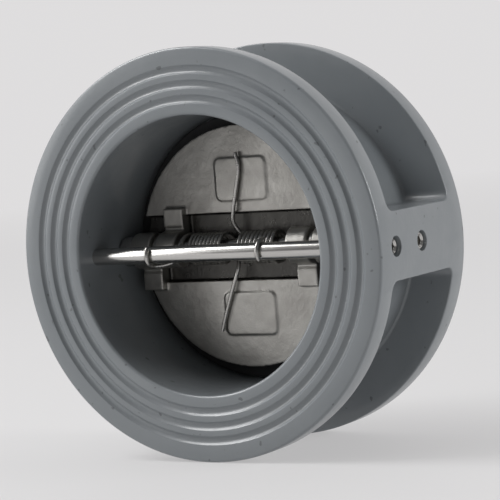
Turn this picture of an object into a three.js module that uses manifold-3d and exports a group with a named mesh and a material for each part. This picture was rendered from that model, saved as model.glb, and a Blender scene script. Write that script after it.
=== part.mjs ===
// Wafer check valve, DN 80 (3 inch), dual-plate type, clamped between two pipe flanges.
// Millimetres. The origin is on the bore axis, midway between the two gasket faces.
// +Y is the inlet end, -Y the outlet end, +Z is up and the two pins lie along X.

import * as THREE from 'three';
import { mergeVertices } from 'three/addons/utils/BufferGeometryUtils.js';
import Module from 'manifold-3d';

const wasm = await Module();
wasm.setup();

// Body casting
const FACE_TO_FACE = 64;
const RIM_RADIUS = 71;
const RIM_EDGE_ROUNDING = 1;
const FLANGE_THICKNESS = 9;
const BARREL_WALL = 7;
const BARREL_FILLET = 1.2;
const WEB_HALF_HEIGHT = 11.6;
const POCKET_CORNER_RADIUS = 3.5;
const OUTLET_BORE_RADIUS = 48;
const OUTLET_LIP_ROUNDING = 1;
const INLET_BORE_RADIUS = 40;
const INLET_LIP_ROUNDING = 1.5;
const PORT_LAND = 4;
const BRIDGE_HALF_HEIGHT = 6;
const BRIDGE_DEPTH = 16;

// Gasket grooves in both end faces
const GROOVE_COUNT = 3;
const GROOVE_PITCH = 5;
const GROOVE_FIRST_FROM_BORE = 5.4;
const GROOVE_WIDTH = 3;
const GROOVE_DEPTH = 0.9;

// Pins and the plugs that close their holes
const HINGE_FROM_OUTLET_FACE = 30.5;
const STOP_FROM_OUTLET_FACE = 11.4;
const PIN_RADIUS = 3;
const PIN_HOLE_CLEARANCE = 0.3;
const PIN_CHAMFER = 0.5;
const PLUG_HOLE_WIDER_THAN_PIN = 0.5;
const PLUG_HOLE_DEPTH = 10;
const HINGE_PLUG_RECESS = 0.8;
const STOP_PLUG_RECESS = 1.3;
const PLUG_SEAL_THICKNESS = 1;
const PLUG_SOCKET_ACROSS_FLATS = 3;
const PLUG_SOCKET_DEPTH = 3;
const PLUG_CHAMFER = 0.6;

// Plates
const PLATE_EDGE_CLEARANCE = 5;
const SEAT_LAND = 9.8;
const PLATE_THICKNESS = 5.5;
const PLATE_FRONT_BEHIND_HINGE = 4;
const PLATE_HALF_GAP = 0.75;
const RECESS_HALF_HEIGHT = 12;
const KNUCKLE_CLEARANCE = 0.5;
const PAD_WIDTH = 20.5;
const PAD_HEIGHT = 15;
const PAD_BOTTOM = 16.4;
const PAD_RAISE = 0.5;
const PAD_CORNER_RADIUS = 2;
const KNUCKLE_RADIUS = 6.5;
const KNUCKLE_LENGTH = 8;
const KNUCKLE_SHIFT = -1.2;
const KNUCKLE_WEB = 0.6;
const PLATE_WASHER_THICKNESS = 1.9;
const LUG_TOP = 14.6;
const LUG_BOTTOM = 8.6;
const LUG_FRONT_BEHIND_HINGE = 1;
const PLATE_WASHER_RADIUS = 5;
const BODY_WASHER_RADIUS = 5.5;
const BODY_WASHER_THICKNESS = 6;

// Seat
const SEAT_THICKNESS = 2.5;

// Springs
const WIRE_RADIUS = 0.7;
const COIL_RADIUS = 5.2;
const RIGHT_COIL_START = 1.3;
const RIGHT_COIL_END_GAP = 4.9;
const RIGHT_TURN_GAP = 0.2;
const RIGHT_HOOK_OFFSET = -1.4;
const LEFT_COIL_START = 5.2;
const LEFT_COIL_END_GAP = 4.6;
const LEFT_TURN_GAP = 0.07;
const LEFT_HOOK_OFFSET = 0.9;

// Gap left between pieces that touch in the real valve
const GAP = 0.3;

// How far a cutting or joining solid runs past the face it meets
const OVERLAP = 1;

// Facets round a full turn
const ROUND = 60;
const SMALL_ROUND = 24;
const WIRE_SIDES = 6;
const STEPS_PER_TURN = 10;

const barrelRadius = OUTLET_BORE_RADIUS + BARREL_WALL;
const plateRadius = OUTLET_BORE_RADIUS - PLATE_EDGE_CLEARANCE;
const portRadius = plateRadius - SEAT_LAND;
const outletFaceY = -FACE_TO_FACE / 2;
const inletFaceY = FACE_TO_FACE / 2;
const hingeY = outletFaceY + HINGE_FROM_OUTLET_FACE;
const stopY = outletFaceY + STOP_FROM_OUTLET_FACE;
const plateFrontY = hingeY + PLATE_FRONT_BEHIND_HINGE;
const plateBackY = plateFrontY + PLATE_THICKNESS;
const padFaceY = plateFrontY - PAD_RAISE;
const recessFloorY = hingeY + KNUCKLE_RADIUS + KNUCKLE_CLEARANCE;
const seatFaceY = plateBackY + GAP;
const seatBackY = seatFaceY + SEAT_THICKNESS;
const shoulderY = seatBackY + GAP;
const bodyWasherEnd = Math.sqrt(OUTLET_BORE_RADIUS ** 2 - BODY_WASHER_RADIUS ** 2) - GAP;
const bodyWasherStart = bodyWasherEnd - BODY_WASHER_THICKNESS;
const outerKnuckleStart = bodyWasherStart - GAP - KNUCKLE_LENGTH;
const plateWasherStart = outerKnuckleStart - GAP - PLATE_WASHER_THICKNESS;
const innerKnuckleStart = plateWasherStart - GAP - KNUCKLE_LENGTH;
const plugHoleFloor = RIM_RADIUS - PLUG_HOLE_DEPTH;
const plugHoleRadius = PIN_RADIUS + PLUG_HOLE_WIDER_THAN_PIN;
const plugRadius = plugHoleRadius - GAP;

// ---------- materials ----------

function material(color, roughness, metalness) {
  return new THREE.MeshStandardMaterial({ color, roughness, metalness });
}

const paint = material(0x6f777b, 0.45, 0.1);
const castStainless = material(0x8f8c86, 0.45, 0.9);
const polishedStainless = material(0xc9c8c4, 0.2, 1);
const springSteel = material(0xb5b3ad, 0.25, 1);
const rubber = material(0x1d1e1f, 0.7, 0);
const sealWhite = material(0xd9d7cf, 0.6, 0);

// ---------- solids ----------

// Returns a closed solid from a geometry, turned so that its faces point outwards.
function solid(geometry) {
  const bare = geometry.index ? geometry.clone() : mergeVertices(geometry.clone());
  bare.deleteAttribute('normal');
  bare.deleteAttribute('uv');
  const merged = mergeVertices(bare, 1e-4);
  const points = merged.attributes.position;
  const triangles = [];
  let volume = 0;
  for (let i = 0; i < merged.index.count; i += 3) {
    const corner = [0, 1, 2].map((k) => merged.index.getX(i + k));
    if (corner[0] === corner[1] || corner[1] === corner[2] || corner[2] === corner[0]) {
      continue;
    }
    const [a, b, c] = corner.map((k) => new THREE.Vector3().fromBufferAttribute(points, k));
    volume += a.dot(b.cross(c));
    triangles.push(corner);
  }
  const ordered = volume < 0 ? triangles.map(([a, b, c]) => [a, c, b]) : triangles;
  return new wasm.Manifold(new wasm.Mesh({
    numProp: 3,
    vertProperties: new Float32Array(points.array),
    triVerts: new Uint32Array(ordered.flat()),
  }));
}

function toGeometry(piece) {
  const mesh = piece.getMesh();
  const geometry = new THREE.BufferGeometry();
  geometry.setAttribute('position', new THREE.BufferAttribute(mesh.vertProperties, 3));
  geometry.setIndex(new THREE.BufferAttribute(mesh.triVerts, 1));
  geometry.computeVertexNormals();
  return geometry;
}

// A solid turned about the Y axis from a closed outline of [radius, y] points.
// A facet is centred on -Z, so the rim stands on a flat.
function turned(outline, facets = ROUND) {
  const points = outline.map(([radius, y]) => new THREE.Vector2(radius, y));
  points.push(points[0].clone());
  return solid(new THREE.LatheGeometry(points, facets, Math.PI / facets));
}

// Points on an arc in the plane of an outline; angles in degrees.
function arc(cx, cy, radius, from, to, steps) {
  const points = [];
  for (let i = 0; i <= steps; i += 1) {
    const angle = THREE.MathUtils.degToRad(from + ((to - from) * i) / steps);
    points.push([cx + radius * Math.cos(angle), cy + radius * Math.sin(angle)]);
  }
  return points;
}

function shapeOf(points) {
  return new THREE.Shape(points.map(([u, v]) => new THREE.Vector2(u, v)));
}

// Extrudes a shape drawn in (y, z) along X.
function alongX(shape, x0, x1, curveSegments = SMALL_ROUND / 2) {
  const options = { depth: x1 - x0, bevelEnabled: false, curveSegments };
  const geometry = new THREE.ExtrudeGeometry(shape, options);
  const axes = new THREE.Matrix4().makeBasis(
    new THREE.Vector3(0, 1, 0),
    new THREE.Vector3(0, 0, 1),
    new THREE.Vector3(1, 0, 0),
  );
  geometry.applyMatrix4(axes);
  geometry.translate(x0, 0, 0);
  return solid(geometry);
}

// Extrudes a shape drawn in (x, z) along Y.
function alongY(shape, y0, y1, curveSegments = ROUND / 2) {
  const options = { depth: y1 - y0, bevelEnabled: false, curveSegments };
  const geometry = new THREE.ExtrudeGeometry(shape, options);
  geometry.rotateX(Math.PI / 2);
  geometry.translate(0, y1, 0);
  return solid(geometry);
}

function rodX(radius, x0, x1, y, facets = SMALL_ROUND) {
  const geometry = new THREE.CylinderGeometry(radius, radius, x1 - x0, facets);
  geometry.rotateZ(Math.PI / 2);
  geometry.translate((x0 + x1) / 2, y, 0);
  return solid(geometry);
}

// A rod along X with a chamfer at both ends.
function chamferedRodX(radius, x0, x1, y, chamfer) {
  const half = (x1 - x0) / 2;
  const outline = [
    new THREE.Vector2(0, -half),
    new THREE.Vector2(radius - chamfer, -half),
    new THREE.Vector2(radius, -half + chamfer),
    new THREE.Vector2(radius, half - chamfer),
    new THREE.Vector2(radius - chamfer, half),
    new THREE.Vector2(0, half),
  ];
  const geometry = new THREE.LatheGeometry(outline, SMALL_ROUND);
  geometry.rotateZ(Math.PI / 2);
  geometry.translate((x0 + x1) / 2, y, 0);
  return solid(geometry);
}

function washerX(outerRadius, innerRadius, x0, x1) {
  const shape = new THREE.Shape();
  shape.absarc(hingeY, 0, outerRadius, 0, 2 * Math.PI);
  const hole = new THREE.Path();
  hole.absarc(hingeY, 0, innerRadius, 0, 2 * Math.PI);
  shape.holes.push(hole);
  return alongX(shape, x0, x1);
}

// ---------- body ----------

// One rounded groove in an end face, as points from its inner to its outer edge.
// side is -1 at the outlet face and +1 at the inlet face.
function groove(centre, side) {
  const half = GROOVE_WIDTH / 2;
  const radius = (half ** 2 + GROOVE_DEPTH ** 2) / (2 * GROOVE_DEPTH);
  const spread = THREE.MathUtils.radToDeg(Math.asin(half / radius));
  const centreY = side * (FACE_TO_FACE / 2 + radius - GROOVE_DEPTH);
  const middle = -side * 90;
  return arc(centre, centreY, radius, middle + side * -spread, middle + side * spread, 3);
}

function grooveCentres() {
  const first = OUTLET_BORE_RADIUS + GROOVE_FIRST_FROM_BORE;
  return Array.from({ length: GROOVE_COUNT }, (_, i) => first + i * GROOVE_PITCH);
}

function bodyOutline() {
  const rim = RIM_RADIUS / Math.cos(Math.PI / ROUND);
  const lip = OUTLET_LIP_ROUNDING;
  const inletLip = INLET_LIP_ROUNDING;
  const edge = RIM_EDGE_ROUNDING;
  return [
    [OUTLET_BORE_RADIUS, shoulderY],
    ...arc(OUTLET_BORE_RADIUS + lip, outletFaceY + lip, lip, 180, 270, 3),
    ...grooveCentres().flatMap((centre) => groove(centre, -1)),
    ...arc(rim - edge, outletFaceY + edge, edge, 270, 360, 2),
    ...arc(rim - edge, inletFaceY - edge, edge, 0, 90, 2),
    ...grooveCentres().flatMap((centre) => groove(centre, 1)).reverse(),
    ...arc(INLET_BORE_RADIUS + inletLip, inletFaceY - inletLip, inletLip, 90, 180, 2),
    [portRadius, shoulderY + PORT_LAND],
    [portRadius, shoulderY],
  ];
}

// The space between the two flanges above the webs, outside the barrel.
function pocket() {
  const wall = FACE_TO_FACE / 2 - FLANGE_THICKNESS;
  const corner = POCKET_CORNER_RADIUS;
  const far = RIM_RADIUS + OVERLAP;
  const section = shapeOf([
    [-wall, far],
    ...arc(-wall + corner, WEB_HALF_HEIGHT + corner, corner, 180, 270, 5),
    ...arc(wall - corner, WEB_HALF_HEIGHT + corner, corner, 270, 360, 5),
    [wall, far],
  ]);
  const fillet = BARREL_FILLET;
  const barrel = turned([
    [0, -wall - OVERLAP],
    [barrelRadius + fillet, -wall - OVERLAP],
    ...arc(barrelRadius + fillet, -wall + fillet, fillet, 270, 180, 2),
    ...arc(barrelRadius + fillet, wall - fillet, fillet, 180, 90, 2),
    [barrelRadius + fillet, wall + OVERLAP],
    [0, wall + OVERLAP],
  ]);
  return alongX(section, -far, far).subtract(barrel);
}

// The bar across the seat opening, with a round nose towards the inlet.
function bridge() {
  const half = BRIDGE_HALF_HEIGHT;
  const noseY = shoulderY + BRIDGE_DEPTH - half;
  const section = shapeOf([
    [shoulderY, -half],
    ...arc(noseY, 0, half, -90, 90, 8),
    [shoulderY, half],
  ]);
  const reach = INLET_BORE_RADIUS + GAP + BRIDGE_HALF_HEIGHT / 2;
  return alongX(section, -reach, reach);
}

function buildBody() {
  let body = turned(bodyOutline()).add(bridge());
  const upperPocket = pocket();
  body = body.subtract(upperPocket);
  body = body.subtract(upperPocket.rotate([0, 180, 0]));
  for (const y of [hingeY, stopY]) {
    const through = plugHoleFloor + OVERLAP;
    body = body.subtract(rodX(PIN_RADIUS + PIN_HOLE_CLEARANCE, -through, through, y));
    for (const side of [-1, 1]) {
      const ends = [side * plugHoleFloor, side * (RIM_RADIUS + OVERLAP)].sort((a, b) => a - b);
      body = body.subtract(rodX(plugHoleRadius, ends[0], ends[1], y));
    }
  }
  return body;
}

// ---------- seat ----------

function dOpening(side) {
  const start = Math.asin((BRIDGE_HALF_HEIGHT + GAP) / portRadius);
  const path = new THREE.Path();
  if (side > 0) {
    path.absarc(0, 0, portRadius, start, Math.PI - start);
  } else {
    path.absarc(0, 0, portRadius, Math.PI + start, 2 * Math.PI - start);
  }
  return path;
}

function buildSeat() {
  const shape = new THREE.Shape();
  shape.absarc(0, 0, OUTLET_BORE_RADIUS - 2 * GAP, 0, 2 * Math.PI);
  shape.holes.push(dOpening(1), dOpening(-1));
  return alongY(shape, seatFaceY, seatBackY);
}

// ---------- plates ----------

function roundedRectangle(width, x0, z0, height, corner) {
  const shape = [
    ...arc(x0 + corner, z0 + corner, corner, 180, 270, 3),
    ...arc(x0 + width - corner, z0 + corner, corner, 270, 360, 3),
    ...arc(x0 + width - corner, z0 + height - corner, corner, 0, 90, 3),
    ...arc(x0 + corner, z0 + height - corner, corner, 90, 180, 3),
  ];
  return shapeOf(shape);
}

function lug(x0) {
  const front = hingeY + LUG_FRONT_BEHIND_HINGE;
  const section = shapeOf([
    [hingeY, PLATE_HALF_GAP],
    [recessFloorY + GAP, PLATE_HALF_GAP],
    [recessFloorY + GAP, LUG_TOP],
    [front, LUG_TOP],
    [front, LUG_BOTTOM],
    [front + KNUCKLE_WEB, KNUCKLE_RADIUS + KNUCKLE_WEB],
    [hingeY, KNUCKLE_RADIUS - GAP],
  ]);
  const arm = alongX(section, x0, x0 + KNUCKLE_LENGTH);
  return arm.add(rodX(KNUCKLE_RADIUS, x0, x0 + KNUCKLE_LENGTH, hingeY, 2 * SMALL_ROUND));
}

// The upper plate: a half disc with a raised pad, and two knuckles on the hinge pin.
// shift moves the knuckles along the pin.
function buildPlate(shift) {
  const start = Math.asin(PLATE_HALF_GAP / plateRadius);
  const outline = new THREE.Shape();
  outline.absarc(0, 0, plateRadius, start, Math.PI - start);
  let plate = alongY(outline, plateFrontY, plateBackY, ROUND * 0.75);
  const far = plateRadius + OVERLAP;
  const recess = shapeOf([
    [-far, -OVERLAP],
    [far, -OVERLAP],
    [far, RECESS_HALF_HEIGHT],
    [-far, RECESS_HALF_HEIGHT],
  ]);
  plate = plate.subtract(alongY(recess, plateFrontY - OVERLAP, recessFloorY));
  const pad = roundedRectangle(PAD_WIDTH, -PAD_WIDTH / 2, PAD_BOTTOM, PAD_HEIGHT, PAD_CORNER_RADIUS);
  plate = plate.add(alongY(pad, padFaceY, plateFrontY + OVERLAP));
  plate = plate.add(lug(shift - innerKnuckleStart - KNUCKLE_LENGTH));
  plate = plate.add(lug(shift + outerKnuckleStart));
  return plate.subtract(rodX(PIN_RADIUS + GAP, -far, far, hingeY));
}

// ---------- springs ----------

// A torsion spring: a leg on the plate, a close coil round the hinge pin, and an arm that
// hooks over the stop pin. The coil starts at the leg and turns towards the hook.
function springPath(legPoints, coilStart, coilEnd, turnGap, hookX) {
  const points = legPoints.map(([x, y, z]) => new THREE.Vector3(x, y, z));
  const turns = Math.floor((coilEnd - coilStart) / (2 * WIRE_RADIUS + turnGap)) + 0.25;
  const steps = Math.round(turns * STEPS_PER_TURN);
  for (let i = 0; i <= steps; i += 1) {
    const angle = (-2 * Math.PI * turns * i) / steps;
    const x = coilStart + ((coilEnd - coilStart) * i) / steps;
    const y = hingeY + COIL_RADIUS * Math.cos(angle);
    points.push(new THREE.Vector3(x, y, COIL_RADIUS * Math.sin(angle)));
  }
  const hookRadius = PIN_RADIUS + WIRE_RADIUS + GAP;
  const reach = stopY - hingeY;
  for (const [share, height] of [[0.28, -0.94], [0.54, -0.23], [0.7, 0.54]]) {
    points.push(new THREE.Vector3(coilEnd, hingeY + reach * share, COIL_RADIUS * height));
  }
  const overPin = new THREE.Vector3(coilEnd, stopY + hookRadius * 0.75, hookRadius);
  points.push(overPin.lerp(new THREE.Vector3(hookX, overPin.y, overPin.z), 0.6));
  for (const angle of [90, 125, 160, 195, 225]) {
    const turn = THREE.MathUtils.degToRad(angle);
    const y = stopY + hookRadius * Math.cos(turn);
    points.push(new THREE.Vector3(hookX, y, hookRadius * Math.sin(turn)));
  }
  return new THREE.CatmullRomCurve3(points, false, 'centripetal');
}

function wire(path) {
  const section = shapeOf(arc(0, 0, WIRE_RADIUS, 0, 360 - 360 / WIRE_SIDES, WIRE_SIDES - 1));
  const steps = path.points.length - 1;
  return solid(new THREE.ExtrudeGeometry(section, { steps, extrudePath: path, bevelEnabled: false }));
}

const legY = padFaceY - WIRE_RADIUS - GAP;

function buildRightSpring() {
  const leg = [
    [-0.7, legY, 33.4],
    [0.3, legY, 28.4],
    [-1.1, legY, 21.5],
    [-3.6, legY, 10.8],
    [-3.6, legY + 0.4, 8.2],
    [-1.2, hingeY + COIL_RADIUS - 0.3, 3.2],
  ];
  const knuckleStart = innerKnuckleStart + KNUCKLE_SHIFT;
  const coilEnd = knuckleStart - RIGHT_COIL_END_GAP;
  const hookX = knuckleStart + RIGHT_HOOK_OFFSET;
  return wire(springPath(leg, RIGHT_COIL_START, coilEnd, RIGHT_TURN_GAP, hookX));
}

function buildLeftSpring() {
  const leg = [
    [11.7, legY, 30],
    [9.2, legY, 23],
    [4.5, legY, 11.2],
    [3.1, legY + 0.5, 7],
    [4, hingeY + COIL_RADIUS - 0.3, 2.8],
  ];
  const knuckleStart = innerKnuckleStart - KNUCKLE_SHIFT;
  const coilEnd = knuckleStart - LEFT_COIL_END_GAP;
  const hookX = knuckleStart + LEFT_HOOK_OFFSET;
  const path = springPath(leg, LEFT_COIL_START, coilEnd, LEFT_TURN_GAP, hookX);
  return wire(path).rotate([0, 180, 0]);
}

// ---------- plugs ----------

function buildPlug(side, y, recess) {
  const inner = plugHoleFloor + 2 * GAP + PLUG_SEAL_THICKNESS;
  const outer = RIM_RADIUS - recess;
  const plug = chamferedRodX(plugRadius, inner, outer, y, PLUG_CHAMFER);
  const socketRadius = PLUG_SOCKET_ACROSS_FLATS / Math.sqrt(3);
  const socket = rodX(socketRadius, outer - PLUG_SOCKET_DEPTH, outer + OVERLAP, y, 6);
  const finished = plug.subtract(socket);
  return side > 0 ? finished : finished.rotate([0, 180, 0]);
}

function buildPlugSeal(side, y) {
  const start = plugHoleFloor + GAP;
  const seal = rodX(plugRadius, start, start + PLUG_SEAL_THICKNESS, y);
  return side > 0 ? seal : seal.rotate([0, 180, 0]);
}

// ---------- assembly ----------

const valve = new THREE.Group();

function addPiece(name, piece, look) {
  const mesh = new THREE.Mesh(toGeometry(piece), look);
  mesh.name = name;
  valve.add(mesh);
}

addPiece('body', buildBody(), paint);
addPiece('seat_seal', buildSeat(), rubber);
addPiece('upper_plate', buildPlate(KNUCKLE_SHIFT), castStainless);
addPiece('lower_plate', buildPlate(-KNUCKLE_SHIFT).rotate([0, 180, 0]), castStainless);

const pinHalfLength = plugHoleFloor - GAP;
for (const [name, y] of [['hinge_pin', hingeY], ['stop_pin', stopY]]) {
  const pin = chamferedRodX(PIN_RADIUS, -pinHalfLength, pinHalfLength, y, PIN_CHAMFER);
  addPiece(name, pin, polishedStainless);
}
addPiece('left_spring', buildLeftSpring(), springSteel);
addPiece('right_spring', buildRightSpring(), springSteel);

for (const [sideName, side] of [['left', -1], ['right', 1]]) {
  const washerBore = PIN_RADIUS + GAP;
  const shift = side * KNUCKLE_SHIFT;
  const plateWasherEnd = plateWasherStart + PLATE_WASHER_THICKNESS;
  const washers = [
    ['plate_washer', PLATE_WASHER_RADIUS, plateWasherStart + shift, plateWasherEnd + shift],
    ['body_washer', BODY_WASHER_RADIUS, bodyWasherStart + shift, bodyWasherEnd],
  ];
  for (const [name, radius, x0, x1] of washers) {
    const washer = washerX(radius, washerBore, x0, x1);
    addPiece(`${sideName}_${name}`, side > 0 ? washer : washer.rotate([0, 180, 0]), polishedStainless);
  }
  const plugs = [['hinge', hingeY, HINGE_PLUG_RECESS], ['stop', stopY, STOP_PLUG_RECESS]];
  for (const [pinName, y, recess] of plugs) {
    addPiece(`${sideName}_${pinName}_plug`, buildPlug(side, y, recess), polishedStainless);
    addPiece(`${sideName}_${pinName}_plug_seal`, buildPlugSeal(side, y), sealWhite);
  }
}

export default valve;
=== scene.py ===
"""Looks for a dual-plate wafer check valve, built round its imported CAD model."""
import math

import bmesh
import bpy
import numpy as np
from mathutils import Matrix, Vector


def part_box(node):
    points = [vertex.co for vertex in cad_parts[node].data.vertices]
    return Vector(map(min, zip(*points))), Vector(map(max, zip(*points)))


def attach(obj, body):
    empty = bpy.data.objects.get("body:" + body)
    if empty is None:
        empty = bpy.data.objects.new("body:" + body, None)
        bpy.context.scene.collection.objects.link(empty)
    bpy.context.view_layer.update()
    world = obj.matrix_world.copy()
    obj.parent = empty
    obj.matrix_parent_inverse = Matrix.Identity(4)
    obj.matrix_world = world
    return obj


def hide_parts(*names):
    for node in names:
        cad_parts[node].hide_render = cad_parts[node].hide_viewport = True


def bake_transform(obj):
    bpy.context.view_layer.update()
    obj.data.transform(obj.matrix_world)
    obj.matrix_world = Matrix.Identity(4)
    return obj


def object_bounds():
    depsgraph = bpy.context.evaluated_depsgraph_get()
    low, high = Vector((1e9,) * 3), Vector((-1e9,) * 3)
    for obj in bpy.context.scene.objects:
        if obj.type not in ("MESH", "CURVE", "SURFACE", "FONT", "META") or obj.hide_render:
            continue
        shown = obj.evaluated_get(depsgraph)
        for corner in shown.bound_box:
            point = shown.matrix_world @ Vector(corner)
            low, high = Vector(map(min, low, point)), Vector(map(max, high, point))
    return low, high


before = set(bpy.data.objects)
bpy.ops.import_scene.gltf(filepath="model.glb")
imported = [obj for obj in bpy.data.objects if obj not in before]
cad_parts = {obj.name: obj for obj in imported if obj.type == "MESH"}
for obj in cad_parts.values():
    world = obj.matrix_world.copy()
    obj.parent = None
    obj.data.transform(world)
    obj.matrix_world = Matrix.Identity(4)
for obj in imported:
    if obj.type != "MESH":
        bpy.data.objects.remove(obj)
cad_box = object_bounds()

MM = 0.001

# ---------- sizes, in millimetres ----------

RIM_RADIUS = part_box("body")[1][2] / MM
HALF_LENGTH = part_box("body")[1][1] / MM
HINGE_Y = (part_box("hinge_pin")[0][1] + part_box("hinge_pin")[1][1]) / 2 / MM
STOP_Y = (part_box("stop_pin")[0][1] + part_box("stop_pin")[1][1]) / 2 / MM
PIN_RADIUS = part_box("hinge_pin")[1][2] / MM
PIN_HALF_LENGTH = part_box("hinge_pin")[1][0] / MM
SEAT_FACE_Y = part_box("seat_seal")[0][1] / MM
SEAT_BACK_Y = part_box("seat_seal")[1][1] / MM
SEAT_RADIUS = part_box("seat_seal")[1][0] / MM
PLATE_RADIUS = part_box("upper_plate")[1][0] / MM
PLATE_BACK_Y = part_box("upper_plate")[1][1] / MM

GAP = 0.3  # between pieces that touch in the real valve, as in the CAD model
FLANGE_THICKNESS = 9.0
BARREL_RADIUS = 55.0
WEB_HALF_HEIGHT = 11.6
POCKET_CORNER = 3.5
POCKET_EDGE_ROUNDING = 0.5
POCKET_FILLET = 1.2
OUTLET_BORE = 48.0
OUTLET_LIP = 1.0
INLET_BORE = 40.0
INLET_LIP = 1.5
PORT_RADIUS = 33.2
PORT_LAND = 4.0
SHOULDER_Y = SEAT_BACK_Y + GAP
BRIDGE_HALF_HEIGHT = 6.0
BRIDGE_DEPTH = 16.0
RIM_EDGE = 1.0
GROOVE_CENTRES = (53.4, 58.4, 63.4)
GROOVE_WIDTH = 3.0
GROOVE_DEPTH = 0.9
GROOVE_FULLNESS = 2.2  # power of the section: 2 is a parabola, more is fuller
GROOVE_EDGE_DEPTH = 0.35 * 0.12
GROOVE_EDGE_WIDTH = 0.16
GROOVE_REACH = 1.25

PLUG_HOLE_RADIUS = PIN_RADIUS + 0.5
PLUG_HOLE_DEPTH = 10.0
PLUG_HOLE_CHAMFER = 0.15
PAST_RIM = 0.35

# ---------- colours ----------

PAINT_TONES = ((0.178, 0.195, 0.207), (0.2, 0.217, 0.228))
SPECK_COLOUR = (0.05, 0.055, 0.06)
CAST_STEEL = (0.46, 0.45, 0.425)
CAST_STEEL_DARK = (0.34, 0.33, 0.31)
# painted shade: the plates' recess floor gets this share of the dark steel colour, standing in
# for the shadow there
RECESS_SHADE = 0.22
GROUND_STEEL = (0.58, 0.57, 0.55)
WIRE_STEEL = (0.48, 0.47, 0.45)
RUBBER_TONES = ((0.012, 0.012, 0.013), (0.022, 0.022, 0.023))
SEALING_TONES = ((0.66, 0.65, 0.62), (0.72, 0.71, 0.68))
FLOOR_COLOUR = (0.62, 0.62, 0.62)


# ---------- mesh helpers ----------

def new_object(name, data):
    """An object in the scene from a mesh, curve, light or camera."""
    piece = bpy.data.objects.new(name, data)
    bpy.context.scene.collection.objects.link(piece)
    return piece


def dress(piece, look, slot, body, *nodes):
    """Gives a piece its material and says what it rides on and replaces."""
    piece.data.materials.clear()
    piece.data.materials.append(look)
    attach(piece, body)
    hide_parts(*nodes)


def arc(cx, cy, radius, start, stop, steps):
    """Points on an arc, angles in degrees."""
    angles = np.radians(np.linspace(start, stop, steps + 1))
    return [(cx + radius * math.cos(a), cy + radius * math.sin(a)) for a in angles]


def around_bore(radius, y, angles):
    """Points on a circle about the bore's axis, angles in radians."""
    x, z = radius * np.cos(angles), radius * np.sin(angles)
    return np.stack((x, np.full_like(angles, y), z), axis=1)


class Patchwork:
    """Collects grids of points, in millimetres, and welds them into one mesh."""

    def __init__(self):
        self.points = []
        self.faces = []

    def grid(self, rows, close_columns=False):
        """rows is an array of shape (rows, columns, 3)."""
        rows = np.asarray(rows, dtype=float)
        count, width = rows.shape[:2]
        start = len(self.points)
        self.points.extend(rows.reshape(-1, 3))
        last = width if close_columns else width - 1
        for i in range(count - 1):
            for j in range(last):
                k = (j + 1) % width
                a = start + i * width
                b = a + width
                self.faces.append((a + j, a + k, b + k, b + j))

    def build(self, name, weld=1e-6, sharp=30.0):
        mesh = bpy.data.meshes.new(name)
        mesh.from_pydata((np.array(self.points) * MM).tolist(), [], self.faces)
        work = bmesh.new()
        work.from_mesh(mesh)
        bmesh.ops.remove_doubles(work, verts=work.verts, dist=weld)
        bmesh.ops.dissolve_degenerate(work, edges=work.edges, dist=weld / 2)
        bmesh.ops.recalc_face_normals(work, faces=work.faces)
        work.to_mesh(mesh)
        work.free()
        smooth(mesh, sharp)
        return mesh


def smooth(mesh, sharp=30.0):
    mesh.polygons.foreach_set("use_smooth", [True] * len(mesh.polygons))
    mesh.set_sharp_from_angle(angle=math.radians(sharp))


def turned(name, outline, axis="Y", centre=(0.0, 0.0, 0.0), columns=96, sharp=30.0):
    """A mesh turned about an axis from points (radius, distance along the axis)."""
    angles = np.linspace(0, 2 * np.pi, columns, endpoint=False)
    rows = []
    for radius, along in outline:
        u, v = radius * np.cos(angles), radius * np.sin(angles)
        w = np.full_like(u, along)
        rows.append(np.stack((u, w, v) if axis == "Y" else (w, u, v), axis=1) + centre)
    work = Patchwork()
    work.grid(rows, close_columns=True)
    return work.build(name, sharp=sharp)


def apply_modifiers(piece):
    graph = bpy.context.evaluated_depsgraph_get()
    mesh = bpy.data.meshes.new_from_object(piece.evaluated_get(graph))
    old = piece.data
    piece.modifiers.clear()
    piece.data = mesh
    bpy.data.meshes.remove(old)
    mesh.name = piece.name


def cut(piece, cutters, operation="DIFFERENCE"):
    """Cuts or joins with other objects, which are then removed."""
    for cutter in cutters:
        step = piece.modifiers.new("cut", "BOOLEAN")
        step.operation = operation
        step.solver = "EXACT"
        step.object = cutter
    apply_modifiers(piece)
    for cutter in cutters:
        mesh = cutter.data
        bpy.data.objects.remove(cutter)
        bpy.data.meshes.remove(mesh)


# ---------- materials ----------

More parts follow.
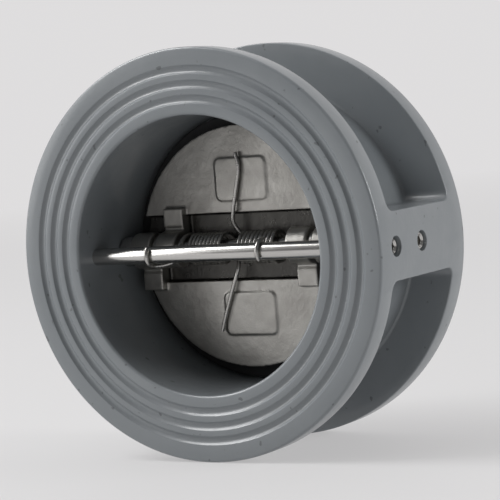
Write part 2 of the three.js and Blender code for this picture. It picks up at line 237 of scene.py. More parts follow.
class Nodes:
    """Short calls for building a material's nodes."""

    def __init__(self, name):
        self.material = bpy.data.materials.new(name)
        self.material.use_nodes = True
        self.tree = self.material.node_tree
        self.tree.nodes.clear()
        self.out = self.add("ShaderNodeOutputMaterial")
        self.shader = self.add("ShaderNodeBsdfPrincipled")
        self.link(self.shader.outputs[0], self.out.inputs[0])
        self.place = self.add("ShaderNodeTexCoord").outputs["Object"]

    def add(self, kind, **values):
        node = self.tree.nodes.new(kind)
        for key, value in values.items():
            if hasattr(node, key):
                setattr(node, key, value)
            else:
                node.inputs[key.replace("_", " ")].default_value = value
        return node

    def link(self, a, b):
        self.tree.links.new(a, b)

    def feed(self, socket, value):
        """Sets a socket to a number or a colour, or links another socket to it."""
        if isinstance(value, (int, float)):
            socket.default_value = value
        elif isinstance(value, tuple):
            socket.default_value = (*value, 1.0)
        else:
            self.link(value, socket)

    def noise(self, scale, detail=3.0, roughness=0.5, stretch=None):
        node = self.add("ShaderNodeTexNoise", Scale=scale, Detail=detail, Roughness=roughness)
        source = self.place
        if stretch:
            mapping = self.add("ShaderNodeMapping")
            mapping.inputs["Scale"].default_value = stretch
            self.link(source, mapping.inputs[0])
            source = mapping.outputs[0]
        self.link(source, node.inputs["Vector"])
        return node.outputs["Fac"]

    def span(self, value, low, high, to_low=0.0, to_high=1.0):
        node = self.add("ShaderNodeMapRange")
        node.inputs["From Min"].default_value = low
        node.inputs["From Max"].default_value = high
        node.inputs["To Min"].default_value = to_low
        node.inputs["To Max"].default_value = to_high
        self.link(value, node.inputs["Value"])
        return node.outputs[0]

    def math(self, operation, a, b=None):
        node = self.add("ShaderNodeMath", operation=operation)
        self.feed(node.inputs[0], a)
        if b is not None:
            self.feed(node.inputs[1], b)
        return node.outputs[0]

    def mix(self, share, a, b):
        node = self.add("ShaderNodeMix", data_type="RGBA")
        sockets = [s for s in node.inputs if s.type == "RGBA"]
        self.feed(sockets[0], a)
        self.feed(sockets[1], b)
        self.link(share, node.inputs[0])
        return [s for s in node.outputs if s.type == "RGBA"][0]

    def set(self, socket, value):
        self.feed(self.shader.inputs[socket], value)

    def bump(self, height, distance, strength, below=None):
        node = self.add("ShaderNodeBump", Strength=strength, Distance=distance)
        self.link(height, node.inputs["Height"])
        if below:
            self.link(below, node.inputs["Normal"])
        self.link(node.outputs[0], self.shader.inputs["Normal"])
        return node.outputs[0]


def paint_material():
    """Blue-grey epoxy paint, slightly uneven, with orange peel and a few dark specks."""
    n = Nodes("body_paint")
    tone = n.noise(28.0, 4.0, 0.55)
    even = n.mix(n.span(tone, 0.35, 0.65), *PAINT_TONES)
    specks = n.span(n.noise(330.0, 1.0), 0.735, 0.775)
    base = n.mix(n.math("MULTIPLY", specks, 0.6), even, SPECK_COLOUR)
    fine = n.noise(900.0, 2.0)
    n.set("Base Color", base)
    n.set("Roughness", n.span(n.noise(160.0, 3.0), 0.3, 0.7, 0.34, 0.44))
    n.set("IOR", 1.5)
    n.set("Specular IOR Level", 0.5)
    n.set("Coat Weight", 0.5)
    n.set("Coat Roughness", 0.13)
    peel = n.bump(n.noise(420.0, 2.0), 0.00012, 0.35)
    n.bump(fine, 0.00004, 0.25, below=peel)
    return n.material


def recess_share(n):
    """1 on the floor of the plates' hinge recess, where shade is painted and the steel is a
    little smoother, and 0 elsewhere.
    """
    split = n.add("ShaderNodeSeparateXYZ")
    n.link(n.place, split.inputs[0])
    depth = split.outputs["Y"]
    height = n.math("ABSOLUTE", split.outputs["Z"])
    edge = RECESS_HALF_HEIGHT * MM
    near = n.span(height, edge - 0.0004, edge + 0.0001, 1.0, 0.0)
    deep = n.span(depth, (PLATE_FRONT_Y + 0.8) * MM, (PLATE_FRONT_Y + 2.0) * MM)
    front = n.span(depth, (PLATE_BACK_Y - 0.4) * MM, (PLATE_BACK_Y - 0.1) * MM, 1.0, 0.0)
    return n.math("MULTIPLY", n.math("MULTIPLY", near, deep), front)


def stainless_material(name, colour, dark, roughness, grain):
    """Satin cast steel, mottled and lightly pitted, with painted shade on the recess floor, which
    is also a little smoother.
    """
    n = Nodes(name)
    tone = n.noise(60.0, 5.0, 0.6)
    mottled = n.mix(n.span(tone, 0.35, 0.65), dark, colour)
    share = recess_share(n)
    # painted shade: the recess floor's colour is darkened to stand in for the shadow under the
    # recess edge
    n.set("Base Color", n.mix(share, mottled, tuple(RECESS_SHADE * c for c in dark)))
    n.set("Metallic", 1.0)
    rough = n.span(n.noise(220.0, 4.0), 0.3, 0.7, roughness - 0.05, roughness + 0.07)
    n.set("Roughness", n.math("SUBTRACT", rough, n.math("MULTIPLY", share, 0.1)))
    coarse = n.bump(n.noise(350.0, 4.0, 0.6), 0.0003, grain)
    n.bump(n.noise(1500.0, 2.0), 0.00008, grain, below=coarse)
    return n.material


def drawn_material(name, colour, roughness):
    """Ground or drawn bright steel, with faint marks along X."""
    n = Nodes(name)
    marks = n.noise(1.0, 3.0, 0.6, stretch=(60.0, 2500.0, 2500.0))
    darker = tuple(c * 0.9 for c in colour)
    n.set("Base Color", n.mix(n.span(marks, 0.35, 0.65), darker, colour))
    n.set("Metallic", 1.0)
    n.set("Roughness", n.span(marks, 0.3, 0.7, roughness - 0.03, roughness + 0.05))
    n.bump(marks, 0.00002, 0.3)
    return n.material


def rubber_material():
    """Dull black rubber."""
    n = Nodes("seat_rubber")
    tone = n.noise(150.0, 3.0)
    n.set("Base Color", n.mix(tone, *RUBBER_TONES))
    n.set("Roughness", n.span(tone, 0.3, 0.7, 0.5, 0.65))
    n.bump(n.noise(1200.0, 2.0), 0.00005, 0.4)
    return n.material


def sealing_material():
    """Off-white sealing disc."""
    n = Nodes("plug_sealing")
    tone = n.noise(200.0, 3.0)
    n.set("Base Color", n.mix(tone, *SEALING_TONES))
    n.set("Roughness", n.span(tone, 0.3, 0.7, 0.45, 0.6))
    return n.material


def floor_material(centre_colour, far_light):
    """A pale floor that turns into the backdrop's own light further out."""
    n = Nodes("floor")
    n.set("Base Color", centre_colour)
    n.set("Roughness", 0.6)
    n.set("Specular IOR Level", 0.2)
    length = n.add("ShaderNodeVectorMath", operation="LENGTH")
    n.link(n.place, length.inputs[0])
    glow = n.add("ShaderNodeEmission")
    glow.inputs[0].default_value = (*far_light, 1.0)
    blend = n.add("ShaderNodeMixShader")
    n.link(n.span(length.outputs["Value"], 0.1, 2.0, 0.55, 1.0), blend.inputs[0])
    n.link(n.shader.outputs[0], blend.inputs[1])
    n.link(glow.outputs[0], blend.inputs[2])
    n.link(blend.outputs[0], n.out.inputs[0])
    return n.material


# ---------- body ----------

FLANGE_COLUMNS = 84
WEB_COLUMNS = 16
CORNER_STEPS = 6
WEB_STEPS = 8

POCKET_HALF_WIDTH = HALF_LENGTH - FLANGE_THICKNESS
CORNER_Y = POCKET_HALF_WIDTH - POCKET_CORNER
CORNER_Z = WEB_HALF_HEIGHT + POCKET_CORNER


def pocket_side(offset):
    """(y, z) down one corner of a pocket, across the web and up the other corner."""
    radius = POCKET_CORNER + offset
    low = arc(-CORNER_Y, CORNER_Z, radius, 180, 270, CORNER_STEPS)
    high = arc(CORNER_Y, CORNER_Z, radius, 270, 360, CORNER_STEPS)
    bottom = [(y, CORNER_Z - radius) for y in np.linspace(-CORNER_Y, CORNER_Y, WEB_STEPS + 1)]
    return np.array(low + bottom[1:-1] + high)


def pocket_loop(offset, radius):
    """The pocket's outline at one radius, as a closed ring of points."""
    side = pocket_side(offset)
    x = np.sqrt(radius ** 2 - side[:, 1] ** 2)
    right = np.stack((x, side[:, 0], side[:, 1]), axis=1)
    left = right[::-1] * (-1, 1, 1)
    start = math.asin(CORNER_Z / radius)
    angles = np.linspace(start, math.pi - start, FLANGE_COLUMNS + 1)[1:-1]
    wall = around_bore(radius, side[-1, 0], angles)
    back = wall[::-1] * (1, -1, 1)
    return np.concatenate((right, wall, left, back))


def pocket_levels():
    """(offset, radius) from the rim down to the barrel: rounded edge, wall and fillet."""
    edge, fillet = POCKET_EDGE_ROUNDING, POCKET_FILLET
    levels = []
    for angle in np.radians(np.linspace(0, 90, 5)):
        levels.append((edge * (1 - math.sin(angle)), RIM_RADIUS - edge * (1 - math.cos(angle))))
    top, bottom = RIM_RADIUS - edge, BARREL_RADIUS + fillet
    levels += [(0.0, radius) for radius in np.linspace(top, bottom, 5)[1:]]
    for angle in np.radians(np.linspace(0, 90, 6))[1:]:
        levels.append((-fillet * (1 - math.cos(angle)), bottom - fillet * math.sin(angle)))
    return levels


def pocket_floor():
    """The barrel between the fillets of one pocket, as a grid."""
    side = pocket_side(-POCKET_FILLET)
    radius = BARREL_RADIUS
    start = math.asin(CORNER_Z / radius)
    angles = np.linspace(start, math.pi - start, FLANGE_COLUMNS + 1)
    rows = []
    for y, z in side:
        outer = math.asin(z / radius)
        middle = (outer + start) / 2
        row = np.concatenate(([outer, middle], angles, [math.pi - middle, math.pi - outer]))
        rows.append(around_bore(radius, y, row))
    return np.array(rows)


def groove_points(centre, face, outward):
    """One rounded groove with softened edges, as (radius, y) from inside to outside."""
    steps = np.linspace(-GROOVE_REACH, GROOVE_REACH, 23)
    sunk = GROOVE_DEPTH * np.clip(1 - np.abs(steps) ** GROOVE_FULLNESS, 0, None)
    soft = GROOVE_EDGE_DEPTH * np.exp(-((np.abs(steps) - 1.0) / GROOVE_EDGE_WIDTH) ** 2)
    radii = centre + GROOVE_WIDTH / 2 * steps
    return [(r, face - outward * depth) for r, depth in zip(radii, sunk + soft)]


def face_points(bore, lip, outward):
    """One end from the bore out to the rim, as (radius, y). outward is -1 or 1."""
    face = outward * HALF_LENGTH
    points = []
    for angle in np.radians(np.linspace(0, 90, 7)):
        across, along = lip * (1 - math.cos(angle)), lip * (1 - math.sin(angle))
        points.append((bore + across, face - outward * along))
    for centre in GROOVE_CENTRES:
        points += groove_points(centre, face, outward)
    for angle in np.radians(np.linspace(0, 90, 6)):
        across, along = RIM_EDGE * (1 - math.sin(angle)), RIM_EDGE * (1 - math.cos(angle))
        points.append((RIM_RADIUS - across, face - outward * along))
    return points


def body_mesh():
    """The casting without its bridge and plug holes: bore, faces, rims, webs and pockets."""
    work = Patchwork()
    ring_y = POCKET_HALF_WIDTH + POCKET_EDGE_ROUNDING
    start = math.asin(CORNER_Z / RIM_RADIUS)
    web = np.linspace(-start, start, WEB_COLUMNS + 1)[:-1]
    flange = np.linspace(start, math.pi - start, FLANGE_COLUMNS + 1)[:-1]
    angles = np.concatenate((web, flange, web + math.pi, flange + math.pi))
    bore_length = SHOULDER_Y + HALF_LENGTH - OUTLET_LIP
    inside = [(OUTLET_BORE, SHOULDER_Y - s * bore_length) for s in np.linspace(0, 1, 9)]
    land = (PORT_RADIUS, SHOULDER_Y + PORT_LAND)
    outlet = [land, (PORT_RADIUS, SHOULDER_Y)] + inside[:-1]
    outlet += face_points(OUTLET_BORE, OUTLET_LIP, -1) + [(RIM_RADIUS, -ring_y)]
    inlet = [(RIM_RADIUS, ring_y)] + face_points(INLET_BORE, INLET_LIP, 1)[::-1] + [land]
    for outline in (outlet, inlet):
        work.grid([around_bore(r, y, angles) for r, y in outline], close_columns=True)
    web_share = np.linspace(-1, 1, WEB_COLUMNS + 1)
    side = pocket_side(POCKET_EDGE_ROUNDING)
    rows = [around_bore(RIM_RADIUS, y, web_share * math.asin(z / RIM_RADIUS)) for y, z in side]
    for turn in (1, -1):
        work.grid(np.array(rows) * (turn, 1, 1))
    loops = np.array([pocket_loop(offset, radius) for offset, radius in pocket_levels()])
    floor = pocket_floor()
    for turn in (1, -1):
        flip = np.array((turn, 1, turn))
        work.grid(loops * flip, close_columns=True)
        work.grid(floor * flip)
    return work.build("body_casting", weld=2e-6, sharp=35.0)


def bridge_object():
    """The bar across the inlet bore, round towards the inlet, with its ends in the casting."""
    reach = INLET_BORE + 4.0
    back_y = SHOULDER_Y - 0.001
    nose_y = SHOULDER_Y + BRIDGE_DEPTH - BRIDGE_HALF_HEIGHT
    section = [(back_y, -BRIDGE_HALF_HEIGHT)]
    section += arc(nose_y, 0, BRIDGE_HALF_HEIGHT, -90, 90, 16)
    section += [(back_y, BRIDGE_HALF_HEIGHT)]
    work = Patchwork()
    rows = [[(x, y, z) for y, z in section] for x in np.linspace(-reach, reach, 25)]
    work.grid(rows, close_columns=True)
    mesh = work.build("bridge")
    closed = bmesh.new()
    closed.from_mesh(mesh)
    bmesh.ops.holes_fill(closed, edges=closed.edges)
    bmesh.ops.recalc_face_normals(closed, faces=closed.faces)
    closed.to_mesh(mesh)
    closed.free()
    return new_object("bridge", mesh)


def plug_hole_cutter(side, y):
    """The plug's hole, with a small chamfer at the rim."""
    floor_x = RIM_RADIUS - PLUG_HOLE_DEPTH
    chamfer_x, end_x = RIM_RADIUS - PLUG_HOLE_CHAMFER, RIM_RADIUS + PAST_RIM
    wide = PLUG_HOLE_RADIUS + PLUG_HOLE_CHAMFER + PAST_RIM
    outline = [(0, floor_x), (PLUG_HOLE_RADIUS, floor_x), (PLUG_HOLE_RADIUS, chamfer_x),
               (wide, end_x), (0, end_x)]
    outline = [(r, side * x) for r, x in outline]
    return new_object("hole", turned("hole", outline, axis="X", centre=(0, y, 0), columns=48))


def build_body(paint):
    body = new_object("body_casting", body_mesh())
    cut(body, [bridge_object()], "UNION")
    cut(body, [plug_hole_cutter(side, y) for side in (-1, 1) for y in (HINGE_Y, STOP_Y)])
    smooth(body.data, 35.0)
    dress(body, paint, "body_paint", "valve_body", "body")


# ---------- plates ----------

PLATE_FRONT_Y = HINGE_Y + 4.0
PAD_FACE_Y = PLATE_FRONT_Y - 0.5
RECESS_FLOOR_Y = HINGE_Y + 7.0
PLATE_HALF_GAP = 0.75
RECESS_HALF_HEIGHT = 12.0
PAD_WIDTH, PAD_HEIGHT, PAD_BOTTOM = 20.5, 15.0, 16.4
PAD_CORNER = 2.0
KNUCKLE_RADIUS = 6.5
KNUCKLE_LENGTH = 8.0
RIGHT_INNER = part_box("right_plate_washer")[0][0] / MM - GAP - KNUCKLE_LENGTH
RIGHT_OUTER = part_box("right_plate_washer")[1][0] / MM + GAP
LEFT_INNER = -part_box("left_plate_washer")[1][0] / MM - GAP - KNUCKLE_LENGTH
LEFT_OUTER = -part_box("left_plate_washer")[0][0] / MM + GAP
LUG_TOP, LUG_BOTTOM, LUG_FRONT = 14.6, 8.6, HINGE_Y + 1.0
LUG_SINK = 0.5
LUG_SLOPE = 0.6
LUG_INTO_KNUCKLE = 0.3
PIN_CLEARANCE = 0.3
PLATE_VOXEL = 0.36
PLATE_SOFTENING = 3


def prism(outline, low, high, axis):
    """A closed prism of a flat outline. Along X the outline is (y, z), along Y it is (x, z)."""
    work = bmesh.new()
    ends = []
    for w in (low, high):
        points = [(w, u, v) if axis == "X" else (u, w, v) for u, v in outline]
        ends.append([work.verts.new(Vector(point) * MM) for point in points])
    work.faces.new(ends[0])
    work.faces.new(ends[1][::-1])
    count = len(outline)
    for i in range(count):
        k = (i + 1) % count
        work.faces.new((ends[0][i], ends[1][i], ends[1][k], ends[0][k]))
    bmesh.ops.recalc_face_normals(work, faces=work.faces)
    mesh = bpy.data.meshes.new("prism")
    work.to_mesh(mesh)
    work.free()
    return mesh


def joined(name, meshes):
    """One mesh from several, which are then removed."""
    work = bmesh.new()
    for mesh in meshes:
        work.from_mesh(mesh)
        bpy.data.meshes.remove(mesh)
    mesh = bpy.data.meshes.new(name)
    work.to_mesh(mesh)
    work.free()
    return mesh


def half_disc(radius, low_z, high_z=None):
    """Outline of a disc above low_z, and below high_z if that is given."""
    start = math.degrees(math.asin(low_z / radius))
    if high_z is None:
        return arc(0, 0, radius, start, 180 - start, 90)
    stop = math.degrees(math.asin(high_z / radius))
    return arc(0, 0, radius, start, stop, 12) + arc(0, 0, radius, 180 - stop, 180 - start, 12)


def rounded_rectangle(x0, z0, width, height, corner):
    low_x, high_x = x0 + corner, x0 + width - corner
    low_z, high_z = z0 + corner, z0 + height - corner
    points = arc(low_x, low_z, corner, 180, 270, 5)
    points += arc(high_x, low_z, corner, 270, 360, 5)
    points += arc(high_x, high_z, corner, 0, 90, 5)
    points += arc(low_x, high_z, corner, 90, 180, 5)
    return points


def lug_meshes(x0):
    """One knuckle round the hinge pin and the lug that holds it to the plate."""
    x1 = x0 + KNUCKLE_LENGTH
    root_y = RECESS_FLOOR_Y + LUG_SINK
    arm = [(HINGE_Y, PLATE_HALF_GAP), (root_y, PLATE_HALF_GAP), (root_y, LUG_TOP),
           (LUG_FRONT, LUG_TOP), (LUG_FRONT, LUG_BOTTOM),
           (LUG_FRONT + LUG_SLOPE, KNUCKLE_RADIUS + LUG_SLOPE),
           (HINGE_Y, KNUCKLE_RADIUS - LUG_INTO_KNUCKLE)]
    knuckle = arc(HINGE_Y, 0, KNUCKLE_RADIUS, 0, 360 - 360 / 64, 63)
    return [prism(arm, x0, x1, "X"), prism(knuckle, x0, x1, "X")]


def plate_object(name, inner, outer):
    """Cast half disc with its pad and lugs, fused by a fine remesh that softens every edge."""
    outer_part = half_disc(PLATE_RADIUS, RECESS_HALF_HEIGHT)
    recess_part = half_disc(PLATE_RADIUS, PLATE_HALF_GAP, RECESS_HALF_HEIGHT + 1.0)
    pad = rounded_rectangle(-PAD_WIDTH / 2, PAD_BOTTOM, PAD_WIDTH, PAD_HEIGHT, PAD_CORNER)
    pieces = [prism(outer_part, PLATE_FRONT_Y, PLATE_BACK_Y, "Y"),
              prism(recess_part, RECESS_FLOOR_Y, PLATE_BACK_Y, "Y"),
              prism(pad, PAD_FACE_Y, PLATE_BACK_Y - 1, "Y")]
    pieces += lug_meshes(-inner - KNUCKLE_LENGTH) + lug_meshes(outer)
    plate = new_object(name, joined(name, pieces))
    remesh = plate.modifiers.new("fuse", "REMESH")
    remesh.mode = "VOXEL"
    remesh.voxel_size = PLATE_VOXEL * MM
    soften = plate.modifiers.new("soften", "SMOOTH")
    soften.factor = 0.5
    soften.iterations = PLATE_SOFTENING
    apply_modifiers(plate)
    radius, end = PIN_RADIUS + PIN_CLEARANCE, PLATE_RADIUS + 5
    bore = [(0, -end), (radius, -end), (radius, end), (0, end)]
    bore = turned("bore", bore, axis="X", centre=(0, HINGE_Y, 0), columns=48)
    cut(plate, [new_object("bore", bore)])
    smooth(plate.data, 50.0)
    return plate


def build_plates(look):
    upper = plate_object("upper_plate_casting", LEFT_INNER, RIGHT_OUTER)
    lower = plate_object("lower_plate_casting", RIGHT_INNER, LEFT_OUTER)
    lower.data.transform(Matrix.Rotation(math.pi, 4, "Y"))
    for plate, body in ((upper, "upper_plate"), (lower, "lower_plate")):
        dress(plate, look, "cast_stainless", body, body)


# ---------- springs ----------

WIRE_RADIUS = 0.7
COIL_RADIUS = 5.2
COIL_TURNS = 9.25
RIGHT_COIL_START = 1.3
LEFT_COIL_START = 5.2
RIGHT_LEG = ((-0.7, 33.4), (0.3, 28.4), (-1.1, 21.5), (-3.6, 10.8))  # (x, z) on the plate
LEFT_LEG = ((11.7, 30.0), (9.2, 23.0), (4.5, 11.2))
ARM = ((0.28, -0.94), (0.54, -0.23), (0.70, 0.54))  # share of the way, height in coil radii
HOOK_ANGLES = (90, 110, 130, 150, 170, 190, 210, 225)
WIRE_END = ((0.0, 0.0), (0.0, 0.75), (0.18, 0.97))  # (along, radius) in wire radii
WIRE_SIDES = 14
COIL_STEPS = 30


def smooth_path(points, steps):
    """A centripetal Catmull-Rom curve through the points."""
    points = np.array(points, dtype=float)
    points = np.vstack((2 * points[0] - points[1], points, 2 * points[-1] - points[-2]))
    path = []
    for i in range(1, len(points) - 2):
        p = points[i - 1:i + 3]
        gaps = np.sqrt(np.linalg.norm(np.diff(p, axis=0), axis=1))
        knots = np.concatenate(([0], np.cumsum(gaps)))
        for t in np.linspace(knots[1], knots[2], steps, endpoint=False):
            a = [((knots[k + 1] - t) * p[k] + (t - knots[k]) * p[k + 1])
                 / (knots[k + 1] - knots[k]) for k in range(3)]
            b = [((knots[k + 2] - t) * a[k] + (t - knots[k]) * a[k + 1])
                 / (knots[k + 2] - knots[k]) for k in range(2)]
            path.append(((knots[2] - t) * b[0] + (t - knots[1]) * b[1]) / (knots[2] - knots[1]))
    path.append(points[-2])
    return np.array(path)


def swept(name, path, radius, sides):
    """A round wire along a path, with softly rounded ends."""
    tangents = np.gradient(path, axis=0)
    tangents /= np.linalg.norm(tangents, axis=1)[:, None]
    side = np.cross(tangents[0], (1.0, 0.3, 0.2))
    side /= np.linalg.norm(side)
    turn = np.linspace(0, 2 * np.pi, sides, endpoint=False)
    rings = []
    last = len(path) - 1
    for i, (point, tangent) in enumerate(zip(path, tangents)):
        side = side - tangent * side.dot(tangent)
        side /= np.linalg.norm(side)
        other = np.cross(tangent, side)
        circle = np.outer(np.cos(turn), side) + np.outer(np.sin(turn), other)
        if 0 < i < last:
            rings.append(point + circle * radius)
            continue
        inward, end = (tangent, WIRE_END) if i == 0 else (-tangent, WIRE_END[::-1])
        for along, share in end:
            rings.append(point + inward * radius * along + circle * radius * share)
    work = Patchwork()
    work.grid(rings, close_columns=True)
    return work.build(name, weld=1e-7, sharp=40.0)


def spring_points(leg, coil_start, coil_end, hook_x):
    """A leg on the plate, a coil round the hinge pin and an arm hooked over the stop pin."""
    points = [list(point) for point in leg]
    steps = round(COIL_TURNS * COIL_STEPS)
    for i in range(steps + 1):
        angle = -2 * math.pi * COIL_TURNS * i / steps
        x = coil_start + (coil_end - coil_start) * i / steps
        points.append([x, HINGE_Y + COIL_RADIUS * math.cos(angle), COIL_RADIUS * math.sin(angle)])
    reach = STOP_Y - HINGE_Y
    for share, height in ARM:
        points.append([coil_end, HINGE_Y + reach * share, COIL_RADIUS * height])
    hook = PIN_RADIUS + WIRE_RADIUS + GAP
    points.append([coil_end + (hook_x - coil_end) * 0.6, STOP_Y + hook * 0.75, hook])
    for angle in np.radians(HOOK_ANGLES):
        points.append([hook_x, STOP_Y + hook * math.cos(angle), hook * math.sin(angle)])
    return points


def build_springs(look):
    """The right spring shuts the upper plate, and the left one, turned over, the lower plate."""
    leg_y = PAD_FACE_Y - WIRE_RADIUS - GAP
    root_y = HINGE_Y + COIL_RADIUS - 0.3
    right_leg = [(x, leg_y, z) for x, z in RIGHT_LEG]
    right_leg += [(-3.6, leg_y + 0.4, 8.2), (-1.2, root_y, 3.2)]
    left_leg = [(x, leg_y, z) for x, z in LEFT_LEG]
    left_leg += [(3.1, leg_y + 0.5, 7.0), (4.0, root_y, 2.8)]
    right_end, left_end = RIGHT_INNER - 4.9, LEFT_INNER - 4.6
    right = spring_points(right_leg, RIGHT_COIL_START, right_end, RIGHT_INNER - 1.4)
    left = spring_points(left_leg, LEFT_COIL_START, left_end, LEFT_INNER + 0.9)
    left = [(-x, y, -z) for x, y, z in left]
    right_blend = (right_end, 0, 0), (RIGHT_COIL_START + 0.4, 0, 0)
    left_blend = (-left_end, 0, 0), (-LEFT_COIL_START - 0.6, 0, -2.9)
    for side, points, plate, (start, end) in (("right", right, "upper_plate", right_blend),
                                              ("left", left, "lower_plate", left_blend)):
        mesh = swept(f"{side}_spring_wire", smooth_path(points, 3), WIRE_RADIUS, WIRE_SIDES)
        spring = new_object(f"{side}_spring_wire", mesh)
        mesh.materials.append(look)
        start, end = (tuple(v * MM for v in point) for point in (start, end))
        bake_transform(spring)
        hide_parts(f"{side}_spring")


# ---------- pins, washers, plugs and seat ----------

PIN_EDGE = 0.5
WASHER_EDGE = 0.25
PLUG_INNER_CHAMFER = 0.6
PLUG_HEAD = ((0.0, 0.7), (0.15, 0.35), (0.45, 0.1), (0.8, 0.0))  # in from radius, and from end
SOCKET_ACROSS_FLATS = 3.0
SOCKET_DEPTH = 3.0
SEAL_EDGE = 0.2
SEAT_EDGE = 0.4


def rounded_rod(start, stop, radius, edge):
    """Outline (radius, x) of a rod with rounded ends."""
    turn = np.radians((0, 30, 60, 90))
    rim = [(radius - edge + edge * math.sin(a), edge * (1 - math.cos(a))) for a in turn]
    low = [(r, start + x) for r, x in rim]
    high = [(r, stop - x) for r, x in rim[::-1]]
    return [(0, start)] + low + high + [(0, stop)]


def small_piece(name, mesh, look, slot, node):
    dress(new_object(name, mesh), look, slot, "valve_body", node)


def build_pins(look):
    for pin, y in (("hinge_pin", HINGE_Y), ("stop_pin", STOP_Y)):
        name = f"{pin}_rod"
        outline = rounded_rod(-PIN_HALF_LENGTH, PIN_HALF_LENGTH, PIN_RADIUS, PIN_EDGE)
        mesh = turned(name, outline, axis="X", centre=(0, y, 0), columns=64, sharp=40.0)
        small_piece(name, mesh, look, "ground_stainless", pin)


def build_washers(look):
    inner, edge = PIN_RADIUS + PIN_CLEARANCE, WASHER_EDGE
    for side in ("left", "right"):
        for kind in ("plate_washer", "body_washer"):
            node = f"{side}_{kind}"
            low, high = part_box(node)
            x0, x1, outer = low[0] / MM, high[0] / MM, high[2] / MM
            slight = edge * 0.3
            outline = [(inner, x0 + edge), (inner + edge, x0), (outer - edge, x0),
                       (outer - slight, x0 + slight), (outer, x0 + edge), (outer, x1 - edge),
                       (outer - slight, x1 - slight), (outer - edge, x1), (inner + edge, x1),
                       (inner, x1 - edge), (inner, x0 + edge)]
            mesh = turned(f"{node}_ring", outline, axis="X", centre=(0, HINGE_Y, 0), columns=64,
                          sharp=40.0)
            small_piece(f"{node}_ring", mesh, look, "ground_stainless", node)


def plug_piece(node, side, y):
    """A screw plug with a hexagon socket. Outlines are (radius, distance from the bore axis)."""
    def turn(name, outline, columns):
        outline = [(r, side * x) for r, x in outline]
        return turned(name, outline, axis="X", centre=(0, y, 0), columns=columns)

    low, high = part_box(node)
    x0, x1 = sorted((abs(low[0]) / MM, abs(high[0]) / MM))
    radius = high[2] / MM
    outline = [(0, x0), (radius - PLUG_INNER_CHAMFER, x0), (radius, x0 + PLUG_INNER_CHAMFER)]
    outline += [(radius - across, x1 - along) for across, along in PLUG_HEAD] + [(0, x1)]
    piece = new_object(f"{node}_screw", turn(f"{node}_screw", outline, 64))
    corner = SOCKET_ACROSS_FLATS / math.sqrt(3)
    socket = [(0, x1 - SOCKET_DEPTH), (corner, x1 - SOCKET_DEPTH), (corner, x1 + 1), (0, x1 + 1)]
    entry = [(0, x1 - 0.7), (1.6, x1 - 0.7), (2.6, x1 + 0.3), (0, x1 + 0.3)]
    cut(piece, [new_object("hexagon", turn("hexagon", socket, 6)),
                new_object("cone", turn("cone", entry, 48))])
    smooth(piece.data, 30.0)
    return piece, radius


def build_plugs(steel, sealing):
    for side_name, side in (("left", -1), ("right", 1)):
        for pin, y in (("hinge", HINGE_Y), ("stop", STOP_Y)):
            node = f"{side_name}_{pin}_plug"
            piece, radius = plug_piece(node, side, y)
            dress(piece, steel, "ground_stainless", "valve_body", node)
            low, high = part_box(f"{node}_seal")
            disc = rounded_rod(low[0] / MM, high[0] / MM, radius, SEAL_EDGE)
            name = f"{node}_seal_disc"
            mesh = turned(name, disc, axis="X", centre=(0, y, 0), columns=48)
            small_piece(name, mesh, sealing, "plug_sealing", f"{node}_seal")


def seat_outlines():
    """The ring's outer circle and its two half-round openings, as (x, z)."""
    start = math.degrees(math.asin((BRIDGE_HALF_HEIGHT + GAP) / PORT_RADIUS))
    return [arc(0, 0, SEAT_RADIUS, 0, 357, 119),
            arc(0, 0, PORT_RADIUS, start, 180 - start, 60),
            arc(0, 0, PORT_RADIUS, 180 + start, 360 - start, 60)]


def build_seat(look):
    curve = bpy.data.curves.new("seat_outline", "CURVE")
    curve.dimensions = "2D"
    curve.fill_mode = "BOTH"
    curve.extrude = ((SEAT_BACK_Y - SEAT_FACE_Y) / 2 - SEAT_EDGE) * MM
    curve.bevel_depth = SEAT_EDGE * MM
    curve.bevel_resolution = 3
    curve.offset = -SEAT_EDGE * MM
    for outline in seat_outlines():
        spline = curve.splines.new("POLY")
        spline.points.add(len(outline) - 1)
        for point, (x, z) in zip(spline.points, outline):
            point.co = (x * MM, z * MM, 0, 1)
        spline.use_cyclic_u = True
    shape = new_object("seat_shape", curve)
    graph = bpy.context.evaluated_depsgraph_get()
    mesh = bpy.data.meshes.new_from_object(shape.evaluated_get(graph))
    bpy.data.objects.remove(shape)
    bpy.data.curves.remove(curve)
    mesh.transform(Matrix.Rotation(math.pi / 2, 4, "X"))
    mesh.transform(Matrix.Translation((0, (SEAT_FACE_Y + SEAT_BACK_Y) / 2 * MM, 0)))
    work = bmesh.new()
    work.from_mesh(mesh)
    bmesh.ops.remove_doubles(work, verts=work.verts, dist=1e-6)
    bmesh.ops.recalc_face_normals(work, faces=work.faces)
    work.to_mesh(mesh)
    work.free()
    smooth(mesh, 35.0)
    small_piece("seat_ring", mesh, look, "seat_rubber", "seat_seal")


# ---------- camera, lights, floor ----------

BACKDROP = (0.735, 0.725, 0.73)
BRIGHT_SIDE = (-0.75, 0.6, 0.2)
DIM_LIGHT = 0.16
LIGHT_BLEND = 0.35
FLOOR_REACH = 8.0

CAMERA_PLACE = (0.3929, -0.6565, 0.0551)
CAMERA_AZIMUTH = 30.71
CAMERA_ELEVATION = 4.22
CAMERA_ROLL = -4.61
CAMERA_LENS = 156.9


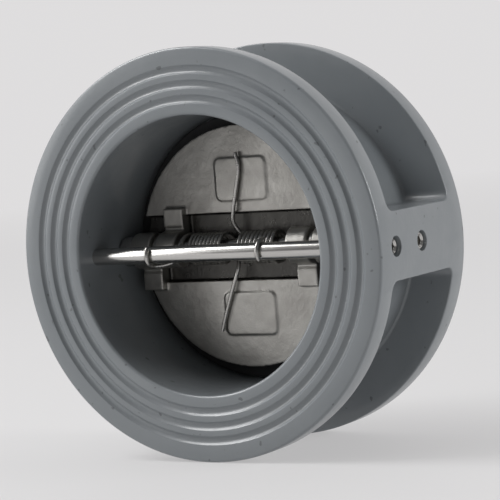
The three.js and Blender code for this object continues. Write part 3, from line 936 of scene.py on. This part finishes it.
def add_camera():
    azimuth, elevation, roll = map(math.radians, (CAMERA_AZIMUTH, CAMERA_ELEVATION, CAMERA_ROLL))
    flat = math.cos(elevation)
    forward = Vector((-math.sin(azimuth) * flat, math.cos(azimuth) * flat, -math.sin(elevation)))
    level = Vector((math.cos(azimuth), math.sin(azimuth), 0.0))
    upright = level.cross(forward)
    right = level * math.cos(roll) + upright * math.sin(roll)
    up = right.cross(forward)
    data = bpy.data.cameras.new("camera")
    data.lens = CAMERA_LENS
    data.sensor_width = 36.0
    data.clip_start = 0.01
    camera = new_object("camera", data)
    turn = Matrix((right, up, -forward)).transposed().to_4x4()
    camera.matrix_world = Matrix.Translation(CAMERA_PLACE) @ turn
    bpy.context.scene.camera = camera


def add_area(name, place, size, power):
    """A rectangular light that faces the middle of the valve."""
    data = bpy.data.lights.new(name, "AREA")
    data.shape = "RECTANGLE"
    data.size, data.size_y = size
    data.energy = power
    light = new_object(name, data)
    light.location = place
    light.rotation_euler = (-Vector(place)).to_track_quat("-Z", "Y").to_euler()


def world_light(tree):
    """A pale studio, dim towards the front right."""
    place = tree.nodes.new("ShaderNodeTexCoord")
    along = tree.nodes.new("ShaderNodeVectorMath")
    along.operation = "DOT_PRODUCT"
    along.inputs[1].default_value = Vector(BRIGHT_SIDE).normalized()
    tree.links.new(place.outputs["Generated"], along.inputs[0])
    share = tree.nodes.new("ShaderNodeMapRange")
    share.interpolation_type = "SMOOTHSTEP"
    share.inputs["From Min"].default_value = -LIGHT_BLEND
    share.inputs["From Max"].default_value = LIGHT_BLEND
    share.inputs["To Min"].default_value = DIM_LIGHT
    share.inputs["To Max"].default_value = 1.0
    tree.links.new(along.outputs["Value"], share.inputs["Value"])
    background = tree.nodes["Background"]
    background.inputs[0].default_value = (*BACKDROP, 1.0)
    tree.links.new(share.outputs[0], background.inputs[1])


def add_stage():
    scene = bpy.context.scene
    scene.view_settings.view_transform = "Standard"
    world = bpy.data.worlds.new("studio")
    scene.world = world
    world.use_nodes = True
    world_light(world.node_tree)
    floor_mesh = bpy.data.meshes.new("floor")
    ends = (-FLOOR_REACH, FLOOR_REACH)
    corners = [(ends[i], ends[j], 0) for i, j in ((0, 0), (1, 0), (1, 1), (0, 1))]
    floor_mesh.from_pydata(corners, [], [(0, 1, 2, 3)])
    floor = new_object("floor", floor_mesh)
    floor.location.z = cad_box[0][2]
    floor_mesh.materials.append(floor_material(FLOOR_COLOUR, BACKDROP))
    add_area("key", (-0.85, -0.35, 0.95), (0.7, 0.7), 13.0)
    add_area("left", (-1.1, -0.9, 0.35), (0.6, 0.8), 5.0)
    add_area("side", (1.25, 0.3, 0.4), (0.5, 0.5), 8.0)


def main():
    add_camera()
    add_stage()
    paint = paint_material()
    build_body(paint)
    cast = stainless_material("cast_stainless", CAST_STEEL, CAST_STEEL_DARK, 0.40, 0.5)
    bright = drawn_material("ground_stainless", GROUND_STEEL, 0.2)
    wire = drawn_material("spring_wire", WIRE_STEEL, 0.28)
    rubber = rubber_material()
    sealing = sealing_material()
    build_plates(cast)
    build_springs(wire)
    build_pins(bright)
    build_washers(bright)
    build_plugs(bright, sealing)
    build_seat(rubber)


main()
